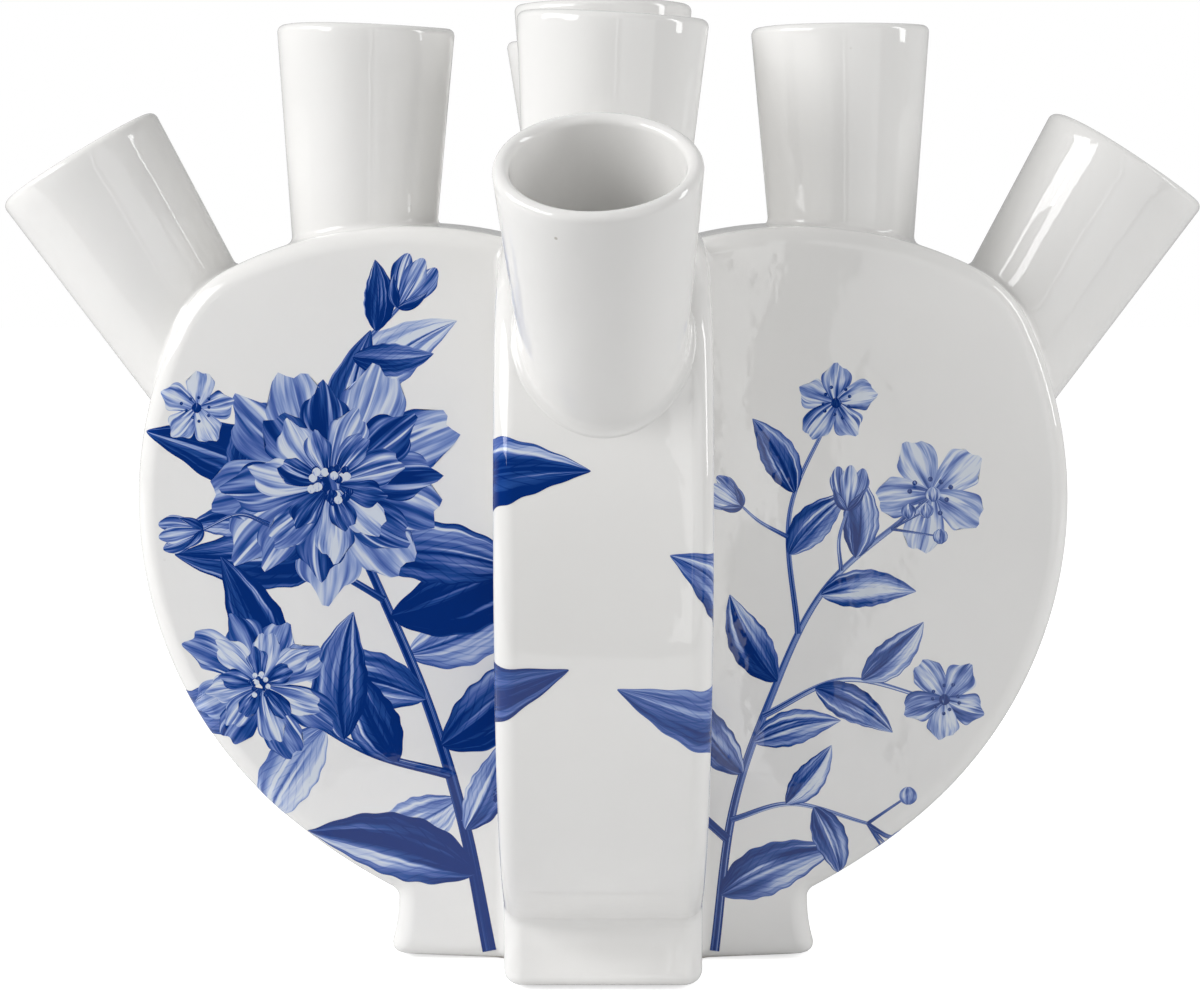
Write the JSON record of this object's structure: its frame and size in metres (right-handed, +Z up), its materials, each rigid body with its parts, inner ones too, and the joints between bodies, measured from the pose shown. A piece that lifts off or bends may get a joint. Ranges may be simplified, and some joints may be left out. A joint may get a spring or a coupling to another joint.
{
  "type": "tulipiere flower vase",
  "caption": "White glazed porcelain tulipiere: crossed heart-shaped hollow wings on a cross-shaped foot, with upright and slanted round spouts that each hold a flower stem.",
  "frame": {"origin": "centre of the foot, on the plane that the vase stands on", "axes": "+Z up along the vase's axis; the front wing points along -Y and the right wing along +X"},
  "size_m": [0.2398, 0.2398, 0.1907],
  "materials": {
    "glaze": "clear gloss glaze over white porcelain",
    "foot": "clear gloss glaze with a bare, ground foot rim"
  },
  "bodies": {
    "root": {"front_wing": "glaze", "right_wing": "glaze", "back_wing": "glaze", "left_wing": "glaze", "front_upright_spout": "glaze", "right_upright_spout": "glaze", "back_upright_spout": "glaze", "left_upright_spout": "glaze", "front_slanted_spout": "glaze", "right_slanted_spout": "glaze", "back_slanted_spout": "glaze", "left_slanted_spout": "glaze", "centre_spout": "glaze", "foot_ring": "foot", "floor_plate": "glaze", "luting_coils": "glaze"}
  },
  "joints": []
}
